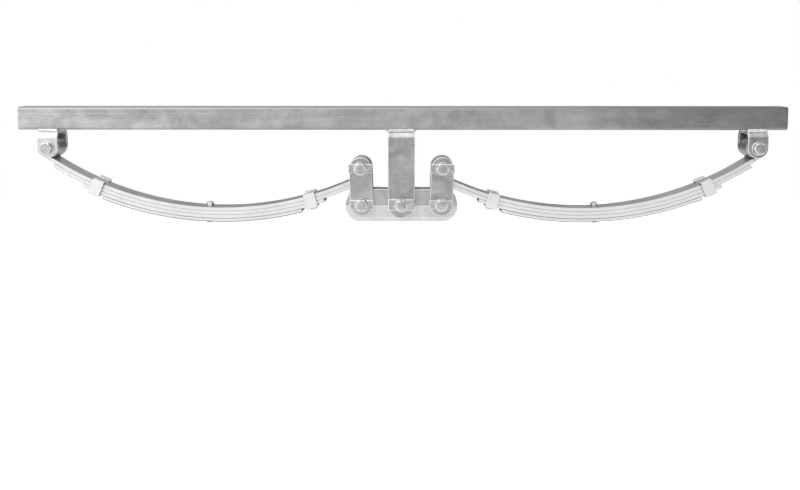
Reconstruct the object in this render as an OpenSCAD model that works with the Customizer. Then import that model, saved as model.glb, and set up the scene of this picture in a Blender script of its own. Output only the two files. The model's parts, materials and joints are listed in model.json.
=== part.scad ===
// Load-sharing tandem leaf-spring unit for one side of a trailer or caravan.
// A square rail carries three welded hangers, two four-leaf springs, and a rocker
// that shares the load between the springs through a pair of shackles.
// X runs along the rail, with the front end at -X. -Y is the outer, bolt-head side.
// The origin is the centre of the rail's top face, where the unit meets the chassis.

/* [Rail] */
// Length of the square tube
rail_length = 1680; // [1640:1:1900]
// Outside width and height of the square tube
rail_size = 50.8; // [50:0.1:54]
// Wall thickness of the square tube
rail_wall = 3; // [2:0.5:5]
// Outside corner radius of the square tube
rail_corner_r = 6; // [5.5:0.1:6.5]

/* [End hangers] */
// Distance from the middle of the rail to each end hanger's bolt
hanger_x = 775.5; // [770:0.5:780]
// Drop from the rail's underside to an end hanger's bolt
hanger_drop = 39.2; // [38:0.1:44]
// Width of the end hanger's strip
hanger_w = 44; // [40:1:50]
// Gap between the two sides of an end hanger
hanger_gap = 47; // [46.8:0.1:47.4]

/* [Centre hanger] */
// Drop from the rail's underside to the rocker's bolt
centre_drop = 164.2; // [160:0.1:175]
// Width of the centre hanger's strip
centre_w = 59; // [50:1:64]
// Gap between the two sides of the centre hanger
centre_gap = 48; // [47.4:0.1:49]

/* [Hanger strip] */
// Thickness of the strip that every hanger is folded from
strip_t = 8; // [7:0.5:9]
// Outside radius of the hanger's folds
fold_r = 19.5; // [15:0.5:20]
// Leg of the fillet weld across the hanger's ends
weld_leg = 5; // [3:0.5:6]

/* [Springs] */
// Width of every leaf
leaf_w = 45; // [44:0.1:45.5]
// Thickness of every leaf
leaf_t = 8; // [7:0.1:8.2]
// Radius of the main leaf's upper face
camber_r = 689; // [670:0.5:700]
// Inside radius of the rolled eyes
eye_r = 15; // [14.5:0.1:15.5]
// Part of the eye left open beside the rolled tip, in degrees
eye_open_angle = 50; // [49:1:60]
// Distance from the middle of the rail to the spring's centre bolt
seat_x = 428.5; // [415:0.5:435]
// Length of the flat axle seat under the lowest leaf
seat_flat = 60; // [40:1:70]
// Distances from the middle of the rail to the ends of the second leaf
second_ends = [112, 765.5]; // [110:0.5:780]
// Distances from the middle of the rail to the ends of the third leaf
third_ends = [170, 702]; // [150:1:710]
// Distances from the middle of the rail to the ends of the lowest leaf
fourth_ends = [219, 660]; // [215:0.5:662]

/* [Spring clips] */
// Distance from the middle of the rail to the inner clip
inner_clip_x = 197; // [190:1:202]
// Distance from the middle of the rail to the outer clip
outer_clip_x = 677; // [674:1:686]
// Width of a clip's strap, along the leaves
clip_w = 26; // [20:1:26]
// Thickness of a clip's strap
clip_t = 5; // [3:0.5:6]
// Gap between the clip's side and the leaves
clip_play = 0.5; // [0.3:0.1:1]
// Length of the tab bent over the main leaf
clip_tab = 17; // [12:1:19]
// Radius of a rivet's head
rivet_head_r = 11; // [9:0.5:12]
// Height of the tall rivet head under an inner clip
inner_rivet_h = 7; // [5:0.5:8]
// Height of the low rivet head under an outer clip
outer_rivet_h = 3; // [2:0.5:4]

/* [Centre bolt] */
// Shank radius of the bolt that holds the leaves together
centre_bolt_r = 4.75; // [4:0.05:5]
// Radius of the locating head under the lowest leaf
locating_head_r = 7.15; // [6.5:0.05:8]
// Height of the locating head below the axle seat
locating_head_h = 5; // [4:0.5:8]
// Radius of the undercut behind the locating head
undercut_r = 6; // [5.5:0.1:6.4]
// Height of the undercut, and depth of the recess round it in the lowest leaf
undercut_h = 1; // [0.5:0.1:2]
// Width across the flats of the nut on top
centre_nut_af = 14.3; // [13:0.1:16]
// Height of the nut on top
centre_nut_h = 8.3; // [7:0.1:9]
// Length of thread left past the nut on top
centre_thread_end = 1.7; // [1:0.1:3]

/* [Rocker] */
// Distance from the rocker's middle bolt to each end bolt
rocker_arm = 87.5; // [86:0.5:90]
// Radius of the rocker's ends, and half its height
rocker_r = 36.5; // [33:0.5:37]
// Drop of the rocker's middle line below its bolts
rocker_drop = 3; // [0:0.5:5]
// Outside width of the rocker
rocker_w = 46; // [45:0.1:46.2]
// Thickness of the rocker's upper plates
rocker_plate_t = 5; // [4:0.5:6]
// Thickness of the rocker's folded trough
trough_t = 3; // [2:0.5:4]
// Outside radius of the trough's folds
trough_fold_r = 12; // [8:0.5:14]

/* [Shackles] */
// Height from a shackle's lower bolt to its upper bolt
shackle_h = 80; // [78:1:84]
// Outward lean of the shackle's upper bolt
shackle_lean = 2.5; // [0:0.5:4]
// Width of a shackle plate
shackle_w = 50; // [42:1:51]
// Thickness of a shackle plate
shackle_t = 6; // [5:0.5:8]
// Gap between the two plates of a shackle
shackle_gap = 47; // [46.8:0.1:47.4]

/* [Keepers] */
// Length of the keeper strap under a shackle bolt
keeper_l = 52; // [50:1:54]
// Height of the keeper strap under a shackle bolt
keeper_h = 20; // [18:1:24]
// Length of the keeper strap under the centre bolt
centre_keeper_l = 58; // [54:1:60]
// Height of the keeper strap under the centre bolt
centre_keeper_h = 25; // [20:1:28]
// Thickness of the keeper straps
keeper_t = 3; // [2:0.5:4]

/* [Pivot bolts] */
// Radius of every pivot bolt
bolt_r = 8; // [8:0.01:8.02]
// Width across the flats of the bolt heads and nuts
bolt_af = 24; // [22:1:25]
// Height of a bolt head
head_h = 10; // [8:0.5:11]
// Height of a lock nut's hexagon
nut_h = 11; // [9:0.5:13]
// Height of a lock nut's round collar
collar_h = 3; // [2:0.5:4]
// Length of thread left past the nut
thread_end = 3; // [2:0.5:5]
// Outside radius of a washer
washer_r = 15; // [14:0.5:16]
// Thickness of a washer
washer_t = 2.5; // [2:0.5:3]

/* [Fits] */
// Clearance round a bolt in a drilled plate
hole_play = 0.25; // [0.1:0.05:0.5]
// Running clearance round a bolt in its bush
running_play = 0.05; // [0.03:0.01:0.08]
// Clearance in the inner eye's bush, which takes up the linkage's float
float_play = 2.4; // [2.3:0.1:3]
// Wall thickness of the rocker's bushes
rocker_bush_wall = 2.95; // [2:0.05:3]
// Wall thickness of the rocker's pivot tubes
pivot_tube_wall = 2.5; // [2:0.1:3]
// Amount that a bush stands out past each side of its spring or rocker
bush_proud = 0.2; // [0:0.05:0.3]

/* [Hidden] */
$fn = 96;
arc_fn = 720;
FRONT = -1;
REAR = 1;
cut = 1;
galvanised = [0.72, 0.74, 0.75];
bright_zinc = [0.82, 0.83, 0.84];
leaf_grey = [0.62, 0.64, 0.65];
weld_grey = [0.66, 0.67, 0.68];
bush_brown = [0.35, 0.30, 0.24];

rail_bottom = -rail_size;
hanger_z = rail_bottom - hanger_drop;
centre_z = rail_bottom - centre_drop;
hanger_half = hanger_gap / 2 + strip_t;
centre_half = centre_gap / 2 + strip_t;
shackle_half = shackle_gap / 2 + shackle_t;
shackle_x = rocker_arm + shackle_lean;
shackle_z = centre_z + shackle_h;
hole_r = bolt_r + hole_play;
bush_bore_r = bolt_r + running_play;
pivot_bush_r = bush_bore_r + rocker_bush_wall;
pivot_tube_r = pivot_bush_r + pivot_tube_wall;

// The spring's arc touches the inside of both eyes, so its centre lies on the line
// that halves the distance between them.
eye_span_x = hanger_x - shackle_x;
eye_span_z = hanger_z - shackle_z;
eye_span = norm([eye_span_x, eye_span_z]);
arc_rise = sqrt(pow(camber_r - eye_r, 2) - pow(eye_span / 2, 2));
arc_x = (hanger_x + shackle_x) / 2 - arc_rise * eye_span_z / eye_span;
arc_z = (hanger_z + shackle_z) / 2 + arc_rise * eye_span_x / eye_span;
function leaf_in(n) = camber_r + (n - 1) * leaf_t;
function leaf_out(n) = camber_r + n * leaf_t;
// Angle about the arc's centre, from straight down, of a point at a distance x
// from the middle of the rail.
function arc_angle(x, r) = asin((x - arc_x) / r);
outer_eye_angle = atan2(hanger_x - arc_x, arc_z - hanger_z);
inner_eye_angle = atan2(shackle_x - arc_x, arc_z - shackle_z);
seat_angle = arc_angle(seat_x, leaf_out(4));
seat_r = sqrt(pow(leaf_out(4), 2) - pow(seat_flat / 2, 2));
clip_half = leaf_w / 2 + clip_play + clip_t;

// ---- Placing ----

// Draws the rear half as it stands, and the front half as its mirror image.
module on_side(side) {
    if (side == FRONT) mirror([1, 0, 0]) children();
    else children();
}

// Extrudes an outline drawn in X and Z across the unit, from y0 to y1.
module across(y0, y1) {
    translate([0, y1, 0]) rotate([90, 0, 0]) linear_extrude(height = y1 - y0) children();
}

// Extrudes an outline drawn in Y and Z along the rail, centred on x.
module along(x, length) {
    translate([x, 0, 0]) rotate([90, 0, 90])
        linear_extrude(height = length, center = true) children();
}

// A round rod across the unit, from y0 to y1.
module rod(r, y0, y1) {
    translate([0, y0, 0]) rotate([-90, 0, 0]) cylinder(r = r, h = y1 - y0);
}

// Places its children at each of a shackle's two bolts.
module at_shackle_bolts(side) {
    on_side(side) {
        translate([rocker_arm, 0, centre_z]) children();
        translate([shackle_x, 0, shackle_z]) children();
    }
}

// ---- Outlines ----

module rounded_square(w, h, r) {
    square([w - 2 * r, h], center = true);
    square([w, h - 2 * r], center = true);
    for (sx = [-1, 1], sz = [-1, 1])
        translate([sx * (w / 2 - r), sz * (h / 2 - r)]) circle(r = r);
}

// A solid arch with rounded top corners, hanging down from 0.
module arch(half, r, depth) {
    translate([-half, -depth]) square([2 * half, depth - r]);
    translate([r - half, -r]) square([2 * (half - r), r]);
    for (s = [-1, 1]) translate([s * (half - r), -r]) circle(r = r);
}

// A strip folded into an upside-down U.
module folded_strip(half, t, r, depth) {
    difference() {
        arch(half, r, depth);
        translate([0, -t]) arch(half - t, r - t, depth);
    }
}

// Part of a ring about the origin, between two angles from straight down.
module ring_sector(r0, r1, a0, a1) {
    far = 2 * r1;
    mid = (a0 + a1) / 2;
    intersection() {
        difference() {
            circle(r = r1, $fn = arc_fn);
            circle(r = r0, $fn = arc_fn);
        }
        polygon([
            [0, 0],
            [far * sin(a0), -far * cos(a0)],
            [far * sin(mid), -far * cos(mid)],
            [far * sin(a1), -far * cos(a1)]
        ]);
    }
}

// ---- Fasteners ----

// A hexagon across the unit whose outer face, on the side of dir, has worn corners.
module hexagon(af, h, dir) {
    rotate([-90 * dir, 0, 0]) intersection() {
        cylinder(r = af / sqrt(3), h = h, $fn = 6);
        cylinder(r1 = 0.475 * af + h * sqrt(3), r2 = 0.475 * af, h = h);
    }
}

module pivot_bolt(head_y, nut_y) {
    color(bright_zinc) {
        translate([0, head_y, 0]) hexagon(bolt_af, head_h, -1);
        rod(bolt_r, head_y, nut_y + nut_h + collar_h + thread_end);
    }
}

module pivot_nut(nut_y) {
    color(bright_zinc) difference() {
        union() {
            translate([0, nut_y, 0]) hexagon(bolt_af, nut_h, 1);
            rod(0.45 * bolt_af, nut_y + nut_h, nut_y + nut_h + collar_h);
        }
        rod(bolt_r, nut_y - cut, nut_y + nut_h + collar_h + cut);
    }
}

// One washer under the head, at head_y, and one under the nut, at nut_y.
module pivot_washers(head_y, nut_y) {
    color(bright_zinc) for (y0 = [head_y, nut_y - washer_t]) difference() {
        rod(washer_r, y0, y0 + washer_t);
        rod(hole_r, y0 - cut, y0 + washer_t + cut);
    }
}

module keeper(l, h, y0) {
    color(bright_zinc) across(y0, y0 + keeper_t) difference() {
        rounded_square(l, h, keeper_t / 2);
        circle(r = hole_r);
    }
}

// ---- Rail and hangers ----

module rail_outline() {
    translate([0, -rail_size / 2]) rounded_square(rail_size, rail_size, rail_corner_r);
}

module rail() {
    inside = rail_size - 2 * rail_wall;
    color(galvanised) along(0, rail_length) difference() {
        rail_outline();
        translate([0, -rail_size / 2]) rounded_square(inside, inside, rail_corner_r - rail_wall);
    }
}

// A hanger folded from strip, with a round end about its bolt.
module hanger(x, bolt_z, w, half) {
    depth = rail_bottom - bolt_z + w;
    color(galvanised) intersection() {
        translate([0, 0, rail_bottom]) along(x, w) folded_strip(half, strip_t, fold_r, depth);
        translate([x, 0, bolt_z]) across(-half, half) difference() {
            union() {
                translate([-w / 2, 0]) square([w, rail_bottom - bolt_z]);
                circle(r = w / 2);
            }
            circle(r = hole_r);
        }
    }
}

// Two welds in the grooves beside the rail, and two fillets across the hanger's ends.
module hanger_welds(x, w, half) {
    groove_r = 4.5;
    groove_y = rail_size / 2 - 2.4;
    groove_z = rail_bottom - 1.2;
    fillet_half = half - fold_r;
    color(weld_grey) {
        for (s = [-1, 1]) along(x, w) difference() {
            translate([s * groove_y, groove_z]) circle(r = groove_r);
            rail_outline();
            translate([0, rail_bottom]) folded_strip(half, strip_t, fold_r, 2 * fold_r);
        }
        for (s = [-1, 1]) translate([x + s * w / 2, 0, rail_bottom])
            across(-fillet_half, fillet_half)
                polygon([[0, 0], [s * weld_leg, 0], [0, -weld_leg]]);
    }
}

module end_hanger(side) {
    hanger(side * hanger_x, hanger_z, hanger_w, hanger_half);
}

module end_hanger_welds(side) {
    hanger_welds(side * hanger_x, hanger_w, hanger_half);
}

module centre_hanger() {
    hanger(0, centre_z, centre_w, centre_half);
}

module centre_hanger_welds() {
    hanger_welds(0, centre_w, centre_half);
}

module end_hanger_bolt(side) {
    translate([side * hanger_x, 0, hanger_z])
        pivot_bolt(-hanger_half - washer_t, hanger_half + washer_t);
}

module end_hanger_washers(side) {
    translate([side * hanger_x, 0, hanger_z])
        pivot_washers(-hanger_half - washer_t, hanger_half + washer_t);
}

module end_hanger_nut(side) {
    translate([side * hanger_x, 0, hanger_z]) pivot_nut(hanger_half + washer_t);
}

module centre_hanger_keeper() {
    translate([0, 0, centre_z])
        keeper(centre_keeper_l, centre_keeper_h, -centre_half - keeper_t);
}

module centre_hanger_bolt() {
    translate([0, 0, centre_z])
        pivot_bolt(-centre_half - keeper_t - washer_t, centre_half + washer_t);
}

module centre_hanger_washers() {
    translate([0, 0, centre_z])
        pivot_washers(-centre_half - keeper_t - washer_t, centre_half + washer_t);
}

module centre_hanger_nut() {
    translate([0, 0, centre_z]) pivot_nut(centre_half + washer_t);
}

// ---- Springs ----

// Places its children at the centre of the spring's arc.
module at_arc(side) {
    on_side(side) translate([arc_x, 0, arc_z]) children();
}

// Places its children on the centre bolt's line, with Z pointing up along it.
module on_seat_line(side) {
    at_arc(side) rotate([0, -seat_angle, 0]) children();
}

// A leaf's outline between two distances from the middle of the rail.
module leaf_outline(n, ends) {
    mid_r = (leaf_in(n) + leaf_out(n)) / 2;
    ring_sector(leaf_in(n), leaf_out(n), arc_angle(ends[0], mid_r), arc_angle(ends[1], mid_r));
}

// A rolled eye. toward is 1 where the rolled tip lies on the side of growing angles.
module eye_outline(angle, toward) {
    far = 2 * (eye_r + leaf_t);
    tip = toward * eye_open_angle;
    rotate(angle) translate([0, eye_r - camber_r]) difference() {
        circle(r = eye_r + leaf_t);
        circle(r = eye_r);
        polygon([[0, 0], [0, -far], [far * sin(tip) / 2, -far], [far * sin(tip), -far * cos(tip)]]);
    }
}

module centre_bolt_hole() {
    translate([0, 0, -leaf_out(4) - cut])
        cylinder(r = centre_bolt_r + hole_play, h = 4 * leaf_t + 2 * cut);
}

module main_leaf(side) {
    color(leaf_grey) difference() {
        at_arc(side) across(-leaf_w / 2, leaf_w / 2) {
            ring_sector(leaf_in(1), leaf_out(1), inner_eye_angle, outer_eye_angle);
            eye_outline(inner_eye_angle, 1);
            eye_outline(outer_eye_angle, -1);
        }
        on_seat_line(side) centre_bolt_hole();
    }
}

module lower_leaf(side, n, ends) {
    color(leaf_grey) difference() {
        at_arc(side) across(-leaf_w / 2, leaf_w / 2) leaf_outline(n, ends);
        on_seat_line(side) centre_bolt_hole();
    }
}

// The lowest leaf has a flat under it, where the axle's seat bears, and a shallow
// recess in the flat for the centre bolt's head.
module fourth_leaf(side) {
    color(leaf_grey) difference() {
        lower_leaf(side, 4, fourth_ends);
        on_seat_line(side) {
            translate([-seat_flat, -leaf_w, -seat_r - leaf_t])
                cube([2 * seat_flat, 2 * leaf_w, leaf_t]);
            translate([0, 0, -seat_r - cut])
                cylinder(r = locating_head_r + hole_play, h = undercut_h + cut);
        }
    }
}

// A strap round the upper three leaves, with its two tabs bent over the main leaf.
module clip(side, x) {
    mid = arc_angle(x, leaf_out(3));
    half_angle = asin(clip_w / 2 / leaf_out(3));
    a0 = mid - half_angle;
    a1 = mid + half_angle;
    inside = clip_half - clip_t;
    color(bright_zinc) at_arc(side) {
        across(-clip_half, clip_half) ring_sector(leaf_out(3), leaf_out(3) + clip_t, a0, a1);
        for (s = [-1, 1]) {
            wall = s * (inside + clip_t / 2);
            tab = s * (clip_half - clip_tab / 2);
            across(wall - clip_t / 2, wall + clip_t / 2)
                ring_sector(leaf_in(1) - clip_t, leaf_out(3) + clip_t, a0, a1);
            across(tab - clip_tab / 2, tab + clip_tab / 2)
                ring_sector(leaf_in(1) - clip_t, leaf_in(1), a0, a1);
        }
    }
}

// A domed rivet head of height h under the clip at x.
module rivet(side, x, h) {
    dome_r = (pow(rivet_head_r, 2) + pow(h, 2)) / (2 * h);
    strap_out = leaf_out(3) + clip_t;
    color(bright_zinc) at_arc(side) rotate([0, -arc_angle(x, leaf_out(3)), 0])
        translate([0, 0, -strap_out - h]) intersection() {
            translate([0, 0, dome_r]) sphere(r = dome_r);
            translate([-dome_r, -dome_r, 0]) cube([2 * dome_r, 2 * dome_r, h]);
        }
}

module clip_rivets(side) {
    rivet(side, inner_clip_x, inner_rivet_h);
    rivet(side, outer_clip_x, outer_rivet_h);
}

module centre_bolt(side) {
    shank_top = leaf_in(1) - centre_nut_h - centre_thread_end;
    color(bright_zinc) on_seat_line(side) {
        translate([0, 0, -seat_r - locating_head_h])
            cylinder(r = locating_head_r, h = locating_head_h);
        translate([0, 0, -seat_r]) cylinder(r = undercut_r, h = undercut_h);
        translate([0, 0, -seat_r]) cylinder(r = centre_bolt_r, h = seat_r - shank_top);
    }
}

// The nut's underside is hollowed to the main leaf's arc, so the two faces meet.
module centre_nut(side) {
    sunk = 0.2;
    color(bright_zinc) on_seat_line(side) difference() {
        translate([0, 0, -leaf_in(1) - sunk]) rotate([90, 0, 0])
            hexagon(centre_nut_af, centre_nut_h + sunk, 1);
        translate([0, 0, -leaf_in(1) - cut])
            cylinder(r = centre_bolt_r, h = centre_nut_h + 2 * cut);
        rotate([90, 0, 0]) difference() {
            cylinder(r = leaf_out(1), h = 2 * centre_nut_af, center = true, $fn = arc_fn);
            cylinder(r = leaf_in(1), h = 3 * centre_nut_af, center = true, $fn = arc_fn);
        }
    }
}

module spring_bush(side, x, z, bore_r) {
    end = leaf_w / 2 + bush_proud;
    color(bush_brown) on_side(side) translate([x, 0, z]) difference() {
        rod(eye_r, -end, end);
        rod(bore_r, -end - cut, end + cut);
    }
}

module outer_bush(side) {
    spring_bush(side, hanger_x, hanger_z, bush_bore_r);
}

module inner_bush(side) {
    spring_bush(side, shackle_x, shackle_z, bolt_r + float_play);
}

// ---- Rocker ----

// The rocker seen from the side, about its middle bolt.
module rocker_outline() {
    translate([0, -rocker_drop]) {
        square([2 * rocker_arm, 2 * rocker_r], center = true);
        for (s = [-1, 1]) translate([s * rocker_arm, 0]) circle(r = rocker_r);
    }
}

module rocker_holes(r) {
    for (x = [-rocker_arm, 0, rocker_arm]) translate([x, 0]) circle(r = r);
}

// An upper plate, which reaches down inside the trough to the start of its folds.
module rocker_plate(s) {
    face = s * (rocker_w / 2 - trough_t - rocker_plate_t / 2);
    color(galvanised) translate([0, 0, centre_z])
        across(face - rocker_plate_t / 2, face + rocker_plate_t / 2) difference() {
            intersection() {
                rocker_outline();
                translate([-2 * rocker_arm, trough_fold_r - rocker_r - rocker_drop])
                    square([4 * rocker_arm, 2 * rocker_r]);
            }
            rocker_holes(pivot_tube_r);
        }
}

module rocker_outer_plate() {
    rocker_plate(-1);
}

module rocker_inner_plate() {
    rocker_plate(1);
}

// The lower half, folded from one sheet and open at the top.
module rocker_trough() {
    half = rocker_w / 2;
    color(galvanised) translate([0, 0, centre_z]) intersection() {
        translate([0, 0, -rocker_r - rocker_drop]) mirror([0, 0, 1])
            along(0, 2 * (rocker_arm + rocker_r))
                folded_strip(half, trough_t, trough_fold_r, rocker_r);
        across(-half, half) difference() {
            rocker_outline();
            rocker_holes(pivot_tube_r);
        }
    }
}

module rocker_pivot_tubes() {
    half = rocker_w / 2;
    color(galvanised) translate([0, 0, centre_z]) across(-half, half) difference() {
        rocker_holes(pivot_tube_r);
        rocker_holes(pivot_bush_r);
    }
}

module rocker_bushes() {
    end = rocker_w / 2 + bush_proud;
    color(bush_brown) translate([0, 0, centre_z]) across(-end, end) difference() {
        rocker_holes(pivot_bush_r);
        rocker_holes(bush_bore_r);
    }
}

// ---- Shackles ----

module shackle_plate(side, s) {
    face = s * (shackle_half - shackle_t / 2);
    length = norm([shackle_lean, shackle_h]);
    color(galvanised) on_side(side) translate([rocker_arm, 0, centre_z])
        across(face - shackle_t / 2, face + shackle_t / 2)
            rotate(-atan2(shackle_lean, shackle_h)) difference() {
                union() {
                    translate([-shackle_w / 2, 0]) square([shackle_w, length]);
                    for (z = [0, length]) translate([0, z]) circle(r = shackle_w / 2);
                }
                for (z = [0, length]) translate([0, z]) circle(r = hole_r);
            }
}

module shackle_keepers(side) {
    at_shackle_bolts(side) keeper(keeper_l, keeper_h, -shackle_half - keeper_t);
}

module shackle_bolts(side) {
    at_shackle_bolts(side)
        pivot_bolt(-shackle_half - keeper_t - washer_t, shackle_half + washer_t);
}

module shackle_washers(side) {
    at_shackle_bolts(side)
        pivot_washers(-shackle_half - keeper_t - washer_t, shackle_half + washer_t);
}

module shackle_nuts(side) {
    at_shackle_bolts(side) pivot_nut(shackle_half + washer_t);
}

rail();
end_hanger(FRONT);  // front_hanger
centre_hanger();
end_hanger(REAR);  // rear_hanger
end_hanger_welds(FRONT);  // front_hanger_welds
centre_hanger_welds();
end_hanger_welds(REAR);  // rear_hanger_welds
end_hanger_bolt(FRONT);  // front_hanger_bolt
end_hanger_washers(FRONT);  // front_hanger_washers
end_hanger_nut(FRONT);  // front_hanger_nut
centre_hanger_bolt();
centre_hanger_washers();
centre_hanger_nut();
centre_hanger_keeper();
end_hanger_bolt(REAR);  // rear_hanger_bolt
end_hanger_washers(REAR);  // rear_hanger_washers
end_hanger_nut(REAR);  // rear_hanger_nut
main_leaf(FRONT);  // front_main_leaf
lower_leaf(FRONT, 2, second_ends);  // front_second_leaf
lower_leaf(FRONT, 3, third_ends);  // front_third_leaf
fourth_leaf(FRONT);  // front_fourth_leaf
clip(FRONT, outer_clip_x);  // front_outer_clip
clip(FRONT, inner_clip_x);  // front_inner_clip
clip_rivets(FRONT);  // front_clip_rivets
centre_bolt(FRONT);  // front_centre_bolt
centre_nut(FRONT);  // front_centre_nut
outer_bush(FRONT);  // front_outer_bush
inner_bush(FRONT);  // front_inner_bush
main_leaf(REAR);  // rear_main_leaf
lower_leaf(REAR, 2, second_ends);  // rear_second_leaf
lower_leaf(REAR, 3, third_ends);  // rear_third_leaf
fourth_leaf(REAR);  // rear_fourth_leaf
clip(REAR, outer_clip_x);  // rear_outer_clip
clip(REAR, inner_clip_x);  // rear_inner_clip
clip_rivets(REAR);  // rear_clip_rivets
centre_bolt(REAR);  // rear_centre_bolt
centre_nut(REAR);  // rear_centre_nut
outer_bush(REAR);  // rear_outer_bush
inner_bush(REAR);  // rear_inner_bush
rocker_outer_plate();
rocker_inner_plate();
rocker_trough();
rocker_pivot_tubes();
rocker_bushes();
shackle_plate(FRONT, -1);  // front_shackle_outer_plate
shackle_plate(FRONT, 1);  // front_shackle_inner_plate
shackle_keepers(FRONT);  // front_shackle_keepers
shackle_bolts(FRONT);  // front_shackle_bolts
shackle_washers(FRONT);  // front_shackle_washers
shackle_nuts(FRONT);  // front_shackle_nuts
shackle_plate(REAR, -1);  // rear_shackle_outer_plate
shackle_plate(REAR, 1);  // rear_shackle_inner_plate
shackle_keepers(REAR);  // rear_shackle_keepers
shackle_bolts(REAR);  // rear_shackle_bolts
shackle_washers(REAR);  // rear_shackle_washers
shackle_nuts(REAR);  // rear_shackle_nuts
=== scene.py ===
import json
from math import cos, pi, radians, sin, sqrt, tau

import bmesh
import bpy
from mathutils import Matrix, Vector, noise


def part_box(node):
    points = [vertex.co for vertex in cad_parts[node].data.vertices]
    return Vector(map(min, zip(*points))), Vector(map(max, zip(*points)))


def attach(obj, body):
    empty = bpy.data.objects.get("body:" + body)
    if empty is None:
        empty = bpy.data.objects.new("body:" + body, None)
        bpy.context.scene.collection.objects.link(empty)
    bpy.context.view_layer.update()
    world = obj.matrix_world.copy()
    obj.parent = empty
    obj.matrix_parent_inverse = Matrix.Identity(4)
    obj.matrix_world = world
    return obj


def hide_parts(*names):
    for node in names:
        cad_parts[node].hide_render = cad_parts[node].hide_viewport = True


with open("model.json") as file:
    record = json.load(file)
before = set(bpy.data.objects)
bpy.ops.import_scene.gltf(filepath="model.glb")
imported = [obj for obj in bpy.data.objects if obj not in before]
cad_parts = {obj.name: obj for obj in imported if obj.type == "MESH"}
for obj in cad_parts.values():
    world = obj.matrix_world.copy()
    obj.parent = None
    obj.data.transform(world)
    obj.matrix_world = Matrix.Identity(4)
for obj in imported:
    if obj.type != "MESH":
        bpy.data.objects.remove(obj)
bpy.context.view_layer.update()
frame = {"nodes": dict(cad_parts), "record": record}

RECORD = frame["record"]
BODY_OF = {node: body for body, nodes in RECORD["behaviour"]["bodies"].items() for node in nodes}
MM = 0.001
ENDS = ("front", "rear")
RAIL_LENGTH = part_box("rail")[1].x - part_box("rail")[0].x
WHITE = (1, 1, 1, 1)
ZINC_TINT = (0.99, 1.0, 0.993, 1)
ZINC_DUST = (0.86, 0.87, 0.86, 1)

# How far edges are rounded, in mm, and how sharp they have to be for it, in degrees.
# The smaller angle takes in the chamfers of bolts and nuts.
PLATE_EDGE, TROUGH_EDGE, KEEPER_EDGE, CLIP_EDGE = 1.2, 1.0, 1.3, 0.8
LEAF_EDGES = {"main": 0.6, "second": 0.6, "third": 0.6, "fourth": 2.0}
WASHER_EDGE, BOLT_EDGE, NUT_EDGE = 0.8, 0.5, 0.5
CENTRE_BOLT_EDGE, CENTRE_NUT_EDGE = 0.35, 0.3
TUBE_EDGE, BUSH_EDGE = 0.2, 0.15
EDGE_ANGLE, CHAMFER_ANGLE = 30, 25

scene = bpy.context.scene


# ---- Camera, floor and light ----

def camera():
    """In front of the unit, slightly above it and to the right, looking 5 degrees down."""
    data = bpy.data.cameras.new("camera")
    data.lens, data.sensor_width = 39.4, 36
    data.shift_y = -0.1345
    cam = bpy.data.objects.new("camera", data)
    scene.collection.objects.link(cam)
    cam.location = (0.0136, -1.931, 0.100)
    cam.rotation_euler = (radians(85), 0, 0.0088)
    scene.camera = cam


def area_light(name, location, size, power, target):
    data = bpy.data.lights.new(name, "AREA")
    data.shape = "RECTANGLE"
    data.size, data.size_y = size
    data.energy = power
    lamp = bpy.data.objects.new(name, data)
    scene.collection.objects.link(lamp)
    lamp.location = location
    lamp.rotation_euler = (Vector(target) - Vector(location)).to_track_quat("-Z", "Y").to_euler()


def studio():
    """A room that is white at the left, grey at the right and behind, and bright above.

    The camera itself sees plain white."""
    wall_behind, ceiling_behind, ceiling_strength = 0.12, 0.48, 2.7
    world = bpy.data.worlds.new("studio")
    scene.world = world
    world.use_nodes = True
    t = Tree(world.node_tree)
    way = t.add("ShaderNodeTexCoord").outputs["Generated"]
    sideways = t.math("MULTIPLY_ADD", t.dot(way, (1, 0, 0)), 0.5, 0.5)
    behind = t.ramp(t.dot(way, (0, 1, 0)), [(0.0, 0.0), (0.3, 1.0)])
    up = t.ramp(t.dot(way, (0, 0, 1)), [(0.24, 0.0), (0.44, 1.0)])
    walls = t.ramp(sideways, [(0.30, 1.0), (0.5, 0.52), (0.70, 0.15)])
    walls = t.mix(behind, walls, grey(wall_behind))
    ceiling = t.ramp(sideways, [(0.30, 1.0), (0.5, 0.8), (0.72, 0.32)])
    ceiling = t.mix(behind, ceiling, grey(ceiling_behind))
    glow = t.mix(up, walls, t.math("MULTIPLY", ceiling, ceiling_strength))
    seen = t.add("ShaderNodeLightPath").outputs["Is Camera Ray"]
    t.link(t.mix(seen, glow, WHITE), t.find("Background").inputs["Color"])
    scene.view_settings.view_transform = "Standard"


def floor():
    """A pale floor far below the unit. It glows a little, and more towards the right."""
    half, height, squares = 4.2, -0.9, 8
    bm = bmesh.new()
    bmesh.ops.create_grid(bm, x_segments=squares, y_segments=squares, size=half)
    bmesh.ops.translate(bm, verts=bm.verts, vec=(0, 0, height))
    obj = to_object(bm, "floor")
    mat, t, shader = new_material("floor_paint")
    cloud = t.noise(t.coords(), 3, 4)
    t.link(t.ramp(cloud, [(0.3, 0.43), (0.7, 0.46)]), shader.inputs["Base Color"])
    shader.inputs["Roughness"].default_value = 0.9
    shader.inputs["Emission Color"].default_value = WHITE
    right = t.dot(t.coords(), (0.4, 0, 0))
    t.link(t.ramp(right, [(0.0, 0.36), (0.6, 0.85)]), shader.inputs["Emission Strength"])
    obj.data.materials.append(mat)


# ---- Nodes ----

def grey(value):
    return (value, value, value, 1)


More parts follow.
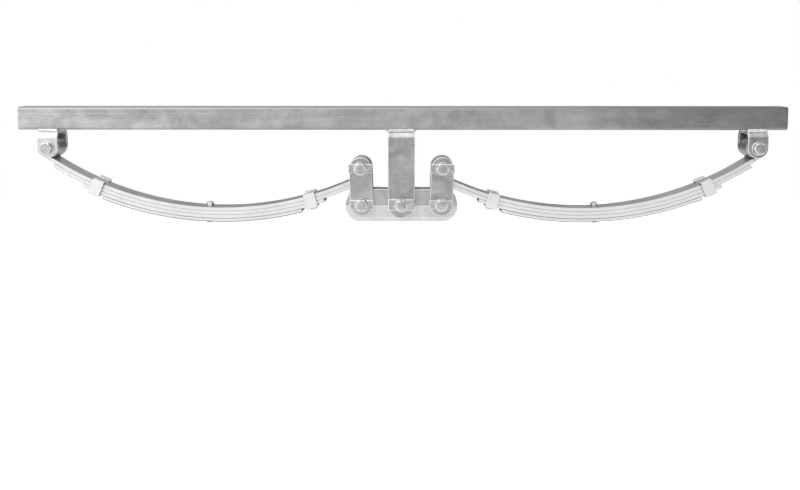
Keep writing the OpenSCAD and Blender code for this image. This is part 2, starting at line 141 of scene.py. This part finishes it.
class Tree:
    """Short ways to add nodes to one tree."""

    def __init__(self, tree):
        self.tree = tree

    def add(self, kind, **settings):
        made = self.tree.nodes.new(kind)
        for key, value in settings.items():
            setattr(made, key, value)
        return made

    def find(self, name):
        return self.tree.nodes[name]

    def link(self, source, target):
        """Joins a node's output to target, or sets target where source is a plain value."""
        if hasattr(source, "is_output"):
            self.tree.links.new(source, target)
        else:
            target.default_value = source

    def coords(self, scale=(1, 1, 1)):
        where = self.add("ShaderNodeTexCoord").outputs["Object"]
        mapping = self.add("ShaderNodeMapping")
        self.link(where, mapping.inputs["Vector"])
        mapping.inputs["Scale"].default_value = scale
        return mapping.outputs["Vector"]

    def normal(self):
        return self.add("ShaderNodeTexCoord").outputs["Normal"]

    def dot(self, a, b):
        made = self.add("ShaderNodeVectorMath", operation="DOT_PRODUCT")
        self.link(a, made.inputs[0])
        self.link(b, made.inputs[1])
        return made.outputs["Value"]

    def noise(self, where, scale, detail=4, rough=0.55, distort=0.0):
        made = self.add("ShaderNodeTexNoise")
        self.link(where, made.inputs["Vector"])
        made.inputs["Scale"].default_value = scale
        made.inputs["Detail"].default_value = detail
        made.inputs["Roughness"].default_value = rough
        made.inputs["Distortion"].default_value = distort
        return made.outputs["Fac"]

    def cells(self, where, scale):
        """One grey per crystal."""
        made = self.add("ShaderNodeTexVoronoi")
        self.link(where, made.inputs["Vector"])
        made.inputs["Scale"].default_value = scale
        parts = self.add("ShaderNodeSeparateColor")
        self.link(made.outputs["Color"], parts.inputs["Color"])
        return parts.outputs[0]

    def ramp(self, value, stops):
        """stops = (place, grey) of each stop."""
        made = self.add("ShaderNodeValToRGB")
        self.link(value, made.inputs["Fac"])
        points = made.color_ramp.elements
        while len(points) < len(stops):
            points.new(0.5)
        for point, (place, tone) in zip(points, stops):
            point.position = place
            point.color = grey(tone)
        return made.outputs["Color"]

    def math(self, operation, *values):
        made = self.add("ShaderNodeMath", operation=operation)
        for value, socket in zip(values, made.inputs):
            self.link(value, socket)
        return made.outputs[0]

    def share(self, a, b, part):
        """part of a with the rest of b."""
        return self.math("ADD", self.math("MULTIPLY", a, part), self.math("MULTIPLY", b, 1 - part))

    def mix(self, factor, a, b, blend="MIX"):
        made = self.add("ShaderNodeMix", data_type="RGBA", blend_type=blend)
        sockets = [s for s in made.inputs if s.enabled]
        self.link(factor, sockets[0])
        self.link(a, sockets[1])
        self.link(b, sockets[2])
        return next(s for s in made.outputs if s.enabled)

    def bump(self, height, strength, distance, under=None):
        made = self.add("ShaderNodeBump")
        made.inputs["Strength"].default_value = strength
        made.inputs["Distance"].default_value = distance
        self.link(height, made.inputs["Height"])
        if under is not None:
            self.link(under, made.inputs["Normal"])
        return made.outputs["Normal"]


# ---- Materials ----

def new_material(name):
    mat = bpy.data.materials.new(name)
    mat.use_nodes = True
    t = Tree(mat.node_tree)
    return mat, t, t.find("Principled BSDF")


def metal(name, dark, light, rough, metallic, spangle=0.05, streak=(1, 1, 1), grain=0.35,
          patch=14.0, faces=None, over=None, under=None, fade=None):
    """Zinc-coated steel: cloudy patches, lengthwise streaks, crystals, dusty spots and pits.

    dark, light, rough = the range of its grey and of its roughness.
    spangle, grain = how strongly the crystals and the pits show.
    streak = the scale of the streaks along each axis: the smaller, the longer they are.
    patch = how many patches there are in a metre.
    faces = (axis, grey) mixes in another grey where the surface faces along axis: painted light,
    the lit sides lighter than the tops.
    over, under = the grey of what faces up or down: painted shade, darker than the faces around it.
    fade = how the tone falls off along the rail, from its front end to its rear end: a painted
    shade, darker towards the rear end."""
    streaks, crystals, spots, pits, specks = 38, 210, 120, 90, 420
    spot_strength, pit_depth, speck_depth = 0.28, 0.5 * MM, 0.12 * MM
    mat, t, shader = new_material(name)
    here = t.coords()
    cloud = t.noise(here, patch, 6, 0.6, 0.8)
    shade = t.share(cloud, t.noise(t.coords(streak), streaks, 5, 0.6, 0.3), 0.62)
    tone = t.ramp(shade, [(0.34, dark), (0.52, (dark + light) / 2), (0.68, light)])
    # Painted light: faces that point along axis, front and back, take the lighter grey given in
    # faces.
    if faces:
        axis, other = faces
        side = t.math("ABSOLUTE", t.dot(t.normal(), Vector(axis)))
        painted_light_mask = t.ramp(side, [(0.45, 0.0), (0.9, 1.0)])
        tone = t.mix(painted_light_mask, tone, t.ramp(shade, [(0.34, other * 0.93), (0.68, other * 1.04)]))
    crystal = t.ramp(t.cells(here, crystals), [(0.0, dark * 0.6), (1.0, min(1, light * 1.3))])
    tone = t.mix(spangle, tone, crystal)
    dusty = t.ramp(t.noise(here, spots, 3, 0.5), [(0.64, 0.0), (0.74, 1.0)])
    tone = t.mix(t.math("MULTIPLY", dusty, spot_strength), tone, ZINC_DUST)
    # Painted shade: what faces up or down takes the grey given in over or under, darker than the
    # faces around it.
    for other, up in ((over, 1), (under, -1)):
        if other is not None:
            painted_light_mask = t.ramp(t.dot(t.normal(), (0, 0, up)), [(0.1, 0.0), (0.45, 1.0)])
            tone = t.mix(painted_light_mask, tone, grey(other))
    # Painted shade: the tone is darkened along the rail towards its rear end.
    if fade:
        place = t.math("ADD", t.dot(here, (1 / RAIL_LENGTH, 0, 0)), 0.5)
        tone = t.mix(1.0, tone, t.ramp(place, fade), blend="MULTIPLY")
    t.link(t.mix(1.0, tone, ZINC_TINT, blend="MULTIPLY"), shader.inputs["Base Color"])
    shader.inputs["Metallic"].default_value = metallic
    low, high = rough
    fine = t.noise(here, specks, 4, 0.6)
    t.link(t.ramp(t.share(cloud, fine, 0.6), [(0.3, low), (0.7, high)]), shader.inputs["Roughness"])
    coarse = t.bump(t.noise(here, pits, 5, 0.6), grain, pit_depth)
    t.link(t.bump(fine, grain, speck_depth, coarse), shader.inputs["Normal"])
    return mat


def finish_pair(name, *args, edge=0.8, edge_under_shade=None, **kwargs):
    """The finish of a part's faces, and that of its rounded edges, which take a grey of their own,
    mostly lighter than the faces, as a painted highlight.

    edge, edge_under_shade = the grey of the edges, and of those that face down, which is painted
    dark as a painted shade."""
    faces = metal(name, *args, **kwargs)
    # Painted highlight on the rounded edges, and painted shade on those that face down.
    edges = metal(name + "_edge", edge * 0.85, edge, (0.30, 0.46), 0.35, spangle=0.02, patch=50,
                  under=edge_under_shade)
    return faces, edges


def polymer(name, tone):
    mat, t, shader = new_material(name)
    here = t.coords()
    cloud, scuffs, grit = 60, 300, 700
    t.link(t.ramp(t.noise(here, cloud, 5), [(0.3, tone * 0.7), (0.7, tone * 1.35)]),
           shader.inputs["Base Color"])
    t.link(t.ramp(t.noise(here, scuffs, 3), [(0.3, 0.5), (0.7, 0.75)]), shader.inputs["Roughness"])
    t.link(t.bump(t.noise(here, grit, 3), 0.3, 0.1 * MM), shader.inputs["Normal"])
    return mat


# ---- Meshes ----

def to_object(bm, name, smooth_angle=32):
    """An object that is smooth between its sharp edges, without the layers the CAD left."""
    mesh = bpy.data.meshes.new(name)
    for layers in (bm.verts.layers, bm.edges.layers, bm.loops.layers, bm.faces.layers):
        for kind in ("float_vector", "uv"):
            for layer in list(getattr(layers, kind, ())):
                getattr(layers, kind).remove(layer)
    bmesh.ops.recalc_face_normals(bm, faces=bm.faces)
    bm.to_mesh(mesh)
    bm.free()
    mesh.shade_smooth()
    mesh.set_sharp_from_angle(angle=radians(smooth_angle))
    obj = bpy.data.objects.new(name, mesh)
    scene.collection.objects.link(obj)
    return obj


def node_mesh(node):
    """The CAD node's surface with whole faces: its triangles and doubled points are joined."""
    same_point, same_plane = 0.002 * MM, radians(0.4)
    bm = bmesh.new()
    bm.from_mesh(frame["nodes"][node].data)
    bmesh.ops.remove_doubles(bm, verts=bm.verts, dist=same_point)
    bmesh.ops.dissolve_limit(bm, angle_limit=same_plane, use_dissolve_boundaries=False,
                             verts=bm.verts, edges=bm.edges)
    return bm


def islands(bm):
    """The vertices of each separate solid."""
    seen, found = set(), []
    for first in bm.verts:
        if first in seen:
            continue
        seen.add(first)
        group = [first]
        for vert in group:
            for edge in vert.link_edges:
                other = edge.other_vert(vert)
                if other not in seen:
                    seen.add(other)
                    group.append(other)
        found.append(group)
    return found


def box_of(verts):
    lo = Vector(min(v.co[i] for v in verts) for i in range(3))
    hi = Vector(max(v.co[i] for v in verts) for i in range(3))
    return lo, hi


def mean(points):
    return sum(points, Vector()) / len(points)


def weigh_edges(bm, skip):
    """Marks the sharp edges for rounding, apart from those round a cut that gets a thread.

    skip = (point, direction) of each such cut."""
    layer = bm.edges.layers.float.new("bevel_weight_edge")
    for edge in bm.edges:
        if len(edge.link_faces) != 2 or edge.calc_face_angle(0) < radians(CHAMFER_ANGLE):
            continue
        middle = (edge.verts[0].co + edge.verts[1].co) / 2
        if all(abs((middle - at).dot(way)) > 0.01 * MM for at, way in skip):
            edge[layer] = 1


def round_edges(obj, width, segments=2, angle=EDGE_ANGLE, weighed=False):
    """Rounds every edge sharper than angle, as shearing, rolling and dipping leave it.

    Where weighed, it rounds the edges that weigh_edges has marked instead."""
    bevel = obj.modifiers.new("round", "BEVEL")
    bevel.width = width * MM
    bevel.segments = segments
    bevel.limit_method = "WEIGHT" if weighed else "ANGLE"
    bevel.angle_limit = radians(angle)
    bevel.harden_normals = True
    bevel.use_clamp_overlap = False
    bevel.material = 1


def finish_piece(obj, node, materials):
    """materials = (faces, rounded edges)."""
    obj.data.materials.clear()
    for material in materials:
        obj.data.materials.append(material)
    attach(obj, BODY_OF[node])
    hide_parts(node)


def join_rows(bm, rows):
    """A skin over rows of points that each go once round, with both ends capped."""
    made = [[bm.verts.new(p) for p in row] for row in rows]
    join_loops(bm, zip(made, made[1:]))
    bm.faces.new(made[0])
    bm.faces.new(list(reversed(made[-1])))


def join_loops(bm, pairs):
    """Four-sided faces between the two loops of vertices in each pair."""
    for a, b in pairs:
        for i in range(len(a)):
            j = (i + 1) % len(a)
            bm.faces.new((a[i], a[j], b[j], b[i]))


def thread(bm, base, way, length, radius, pitch, chamfer):
    """A screw thread along way, with a chamfered far end."""
    around, per_turn, depth = 40, 8, 0.6 * pitch
    way = Vector(way).normalized()
    side = way.orthogonal().normalized()
    up = way.cross(side)
    steps = max(4, round(length / pitch * per_turn))
    rows = []
    for i in range(steps + 1):
        along = length * i / steps
        ceiling = radius - max(0.0, chamfer - (length - along))
        row = []
        for j in range(around):
            turn = (along / pitch - j / around) % 1
            r = min(radius - depth * abs(2 * turn - 1), ceiling)
            a = tau * j / around
            row.append(Vector(base) + way * along + side * (r * cos(a)) + up * (r * sin(a)))
        rows.append(row)
    join_rows(bm, rows)


def cut_off(bm, verts, at, way):
    """Cuts a solid across at the point at, drops what lies beyond, and closes the cut."""
    faces = dict.fromkeys(f for v in verts for f in v.link_faces)
    edges = dict.fromkeys(e for v in verts for e in v.link_edges)
    cut = bmesh.ops.bisect_plane(bm, geom=[*verts, *edges, *faces], plane_co=at, plane_no=way,
                                 clear_outer=True)["geom_cut"]
    bmesh.ops.holes_fill(bm, edges=[e for e in cut if isinstance(e, bmesh.types.BMEdge)])


# ---- Pieces ----

def plain_piece(node, material, width, segments=2, angle=EDGE_ANGLE):
    """The CAD node's own shape with rounded edges."""
    obj = to_object(node_mesh(node), node + "_piece")
    if width:
        round_edges(obj, width, segments, angle)
    finish_piece(obj, node, material)


def pivot_bolts(node, material):
    """M16 bolts whose shanks end in a rolled thread under the nut."""
    radius, pitch, chamfer, threaded = 8 * MM, 2 * MM, 1.2 * MM, 26 * MM
    inwards = Vector((0, 1, 0))
    bm = node_mesh(node)
    starts = []
    for verts in islands(bm):
        lo, hi = box_of(verts)
        start = Vector(((lo.x + hi.x) / 2, hi.y - threaded, (lo.z + hi.z) / 2))
        starts.append(start)
        cut_off(bm, verts, start, inwards)
    weigh_edges(bm, [(start, inwards) for start in starts])
    for start in starts:
        thread(bm, start, inwards, threaded, radius, pitch, chamfer)
    obj = to_object(bm, node + "_piece")
    round_edges(obj, BOLT_EDGE, weighed=True)
    finish_piece(obj, node, material)


def centre_bolt(node, nut, material):
    """A bolt square to the leaves, with a thread that stands out of its nut."""
    radius, pitch, chamfer, threaded = 4.75 * MM, 1.5 * MM, 0.9 * MM, 9 * MM
    head_face = 0.8 * MM
    bm = node_mesh(node)
    nut_centre = mean([v.co for v in frame["nodes"][nut].data.vertices])
    lowest = min(v.co.z for v in bm.verts)
    way = nut_centre - mean([v.co for v in bm.verts if v.co.z < lowest + head_face])
    way.y = 0
    way.normalize()
    top = max(v.co.dot(way) for v in bm.verts)
    start = nut_centre + way * (top - threaded - nut_centre.dot(way))
    start.y = 0
    cut_off(bm, list(bm.verts), start, way)
    weigh_edges(bm, [(start, way)])
    thread(bm, start, way, threaded, radius, pitch, chamfer)
    obj = to_object(bm, node + "_piece")
    round_edges(obj, CENTRE_BOLT_EDGE, weighed=True)
    finish_piece(obj, node, material)


def bead(bm, start, end, radius, out, keep):
    """A weld bead with a ripple for each pool, bowed so that the bead's crown leads.

    out = where the crown faces. keep = a function that moves a point out of forbidden room."""
    around, step, pitch = 28, 0.45 * MM, 2.3 * MM
    tip, thinnest = 0.8, 0.04
    trough, ripple_height, wave_height, bow_depth = 0.90, 0.14, 0.12, 0.32
    start, end, out = Vector(start), Vector(end), Vector(out).normalized()
    way = (end - start).normalized()
    side = way.cross(out)
    length = (end - start).length
    steps = round(length / step)
    rows = []
    for i in range(steps + 1):
        along = length * i / steps
        near = min(along, length - along)
        cap = sqrt(max(thinnest, 1 - (1 - min(1, near / (tip * radius))) ** 2))
        swell = trough + ripple_height * (1 - (along / pitch) % 1)
        row = []
        for j in range(around):
            a = tau * j / around
            wave = 1 + wave_height * noise.noise(start * 40 + Vector((along * 160, a, 0)))
            r = radius * cap * swell * wave
            bow = -bow_depth * radius * (1 - cos(a)) * cap
            p = start + way * (along + bow * min(1, near / radius))
            p += out * (r * cos(a)) + side * (r * sin(a))
            row.append(keep(p))
        rows.append(row)
    join_rows(bm, rows)


def hanger_welds(node, hanger, material):
    """Two beads in the grooves between the hanger and the rail, and two across the hanger."""
    side_radius, end_radius = 4.3 * MM, 4.4 * MM
    inset, sunk, fold = 2.4 * MM, 1.2 * MM, 19.5 * MM
    deepest, toe = 2 * MM, 0.5 * MM
    lo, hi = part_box(hanger)
    rail_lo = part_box("rail")[0]
    under, groove_y = rail_lo.z, -rail_lo.y - inset
    groove_z = under - sunk
    end_y = hi.y - fold

    def below_bore(p):
        """Keeps a point under the rail inside its wall, so that no bead shows in the bore."""
        if abs(p.y) < groove_y - toe and p.z > under + deepest:
            p.z = under + deepest
        return p

    bm = bmesh.new()
    for s in (-1, 1):
        y = s * groove_y
        bead(bm, (lo.x, y, groove_z), (hi.x, y, groove_z), side_radius, (0, s, -0.5), below_bore)
    for x, s in ((lo.x, -1), (hi.x, 1)):
        bead(bm, (x, -end_y, under), (x, end_y, under), end_radius, (s, 0, -1), below_bore)
    finish_piece(to_object(bm, node + "_piece", 60), node, material)


def rail(material):
    """The square tube, with its seam, its rolled corners and slightly uneven faces."""
    corner, wall, lip, unevenness = 6 * MM, 3 * MM, 0.5 * MM, 0.14 * MM
    seam_drop, seam_half, seam_depth = 13 * MM, 1.5 * MM, 0.45 * MM
    face_steps, corner_steps, stations = 40, 8, 300
    lo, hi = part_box("rail")
    size = hi.z - lo.z
    centre = Vector((0, 0, (lo.z + hi.z) / 2))

    def ring(half, r):
        """The points once round a square with rounded corners."""
        points = []
        for k in range(4):
            turn = Matrix.Rotation(k * pi / 2, 3, "X")
            for i in range(face_steps):
                along = -(half - r) + 2 * (half - r) * i / face_steps
                points.append(turn @ Vector((0, along, -half)))
            for i in range(corner_steps):
                a = (pi / 2) * i / corner_steps
                points.append(turn @ Vector((0, half - r + r * sin(a), -half + r - r * cos(a))))
        return points

    def dented(p, x):
        """The point p of the outside, at x, sunk by the seam and by the sheet's unevenness."""
        q = centre + p
        sag = unevenness * (1 + noise.noise(Vector((x * 9, q.y * 30, q.z * 30))))
        from_seam = abs(q.z - (hi.z - seam_drop))
        if p.y < -size / 2 + MM and from_seam < seam_half:
            ripple = 0.75 + 0.25 * noise.noise(Vector((x * 120, 3, 0)))
            sag += seam_depth * ripple * (0.5 + 0.5 * cos(pi * from_seam / seam_half))
        q -= Vector((0, p.y, p.z)).normalized() * sag
        return Vector((x, q.y, q.z))

    def loop(points, x, shrink=0):
        return [bm.verts.new((x, *(centre + p - p.normalized() * shrink).yz)) for p in points]

    outer = ring(size / 2, corner)
    inner = ring(size / 2 - wall, corner - wall)
    xs = [lo.x + lip + (hi.x - lo.x - 2 * lip) * i / stations for i in range(stations + 1)]
    bm = bmesh.new()
    loops = [[bm.verts.new(dented(p, x)) for p in outer] for x in xs]
    loops += [loop(outer, hi.x, lip), loop(inner, hi.x), loop(inner, xs[-1])]
    loops += [loop(inner, xs[0]), loop(inner, lo.x), loop(outer, lo.x, lip)]
    join_loops(bm, zip(loops, loops[1:] + loops[:1]))
    finish_piece(to_object(bm, "rail_piece"), "rail", material)


def hangers(plates, bolts, zinc, weld):
    """plates, bolts = the finish of each hanger and of its bolt, from the front one on."""
    for hanger, plate, bolt in zip(("front_hanger", "centre_hanger", "rear_hanger"), plates, bolts):
        plain_piece(hanger, plate, PLATE_EDGE, 3)
        hanger_welds(hanger + "_welds", hanger, weld)
        pivot_bolts(hanger + "_bolt", bolt)
        plain_piece(hanger + "_washers", zinc, WASHER_EDGE)
        plain_piece(hanger + "_nut", zinc, NUT_EDGE, angle=CHAMFER_ANGLE)
    plain_piece("centre_hanger_keeper", zinc, KEEPER_EDGE, 3)


def spring(end, leaf, clip, zinc, rubber):
    for which, width in LEAF_EDGES.items():
        plain_piece(f"{end}_{which}_leaf", leaf, width, 3)
    for which in ("outer", "inner"):
        plain_piece(f"{end}_{which}_clip", clip, CLIP_EDGE, 3)
        plain_piece(f"{end}_{which}_bush", rubber, BUSH_EDGE)
    plain_piece(f"{end}_clip_rivets", clip, 0)
    centre_bolt(f"{end}_centre_bolt", f"{end}_centre_nut", zinc)
    plain_piece(f"{end}_centre_nut", clip, CENTRE_NUT_EDGE, angle=CHAMFER_ANGLE)


def shackle(end, plate, zinc):
    for which in ("outer", "inner"):
        plain_piece(f"{end}_shackle_{which}_plate", plate, PLATE_EDGE, 3)
    plain_piece(f"{end}_shackle_keepers", zinc, KEEPER_EDGE, 3)
    pivot_bolts(f"{end}_shackle_bolts", zinc)
    plain_piece(f"{end}_shackle_washers", zinc, WASHER_EDGE)
    plain_piece(f"{end}_shackle_nuts", zinc, NUT_EDGE, angle=CHAMFER_ANGLE)


def rocker(plate, bright, rubber):
    # Painted light: the inner plate and the trough take a lighter copy than the outer plate.
    plain_piece("rocker_outer_plate", plate, PLATE_EDGE, 3)
    plain_piece("rocker_inner_plate", bright, PLATE_EDGE, 3)
    plain_piece("rocker_trough", bright, TROUGH_EDGE, 3)
    plain_piece("rocker_pivot_tubes", plate, TUBE_EDGE)
    plain_piece("rocker_bushes", rubber, BUSH_EDGE)


def build():
    # Painted light and shade: bright, pale and steel are copies of one galvanised finish, from
    # lighter to darker; the lighter copies go on the front parts and the rocker, the darker on the
    # centre and rear parts.
    steel = finish_pair("galvanised_steel", 0.30, 0.56, (0.26, 0.40), 0.90, patch=34)
    bright = finish_pair("galvanised_painted_lightest", 0.56, 0.78, (0.26, 0.40), 0.85, edge=0.9)
    pale = finish_pair("galvanised_painted_lighter", 0.40, 0.58, (0.26, 0.40), 0.90)
    tube = finish_pair("galvanised_tube", 0.28, 0.54, (0.42, 0.58), 0.95, streak=(0.12, 1, 1),
                       # Painted shade: the rail's top is painted darker than its sides.
                       over=0.26,
                       # Painted shade: the rail is painted darker towards its rear end.
                       fade=[(0.0, 1.0), (0.5, 0.94), (0.7, 0.86), (0.84, 0.62), (1.0, 0.52)])
    # Painted light: the leaves' and clips' front and back sides take a lighter grey than their
    # tops.
    leaf = finish_pair("zinc_coated_leaf", 0.22, 0.34, (0.34, 0.50), 0.9, streak=(0.1, 1, 1),
                       faces=((0, 1, 0), 0.80), edge=0.55, edge_under_shade=0.03)
    clip = finish_pair("zinc_coated_strap", 0.42, 0.58, (0.30, 0.45), 0.9,
                       faces=((0, 1, 0), 0.84), edge=0.75, edge_under_shade=0.03)
    zinc = finish_pair("zinc_plate", 0.36, 0.64, (0.22, 0.36), 0.92, patch=70, edge=0.9)
    weld = finish_pair("weld_bead_metal", 0.60, 0.85, (0.34, 0.50), 0.9, grain=0.6, patch=60)
    rubber = (polymer("bush_polymer", 0.06),) * 2

    rail(tube)
    # Painted light and shade: the front hanger takes the lightest copy, and the rear hanger's bolt
    # a darker finish than the other bolts.
    hangers((bright, steel, steel), (zinc, zinc, steel), zinc, weld)
    # Painted light and shade: the front shackle takes a lighter copy than the rear one.
    for end, plate in zip(ENDS, (pale, steel)):
        spring(end, leaf, clip, zinc, rubber)
        shackle(end, plate, zinc)
    rocker(pale, bright, rubber)


camera()
studio()
floor()
area_light("key", location=(-2.4, -2.6, 1.6), size=(2.0, 2.0), power=28, target=(0, 0, -0.1))
build()
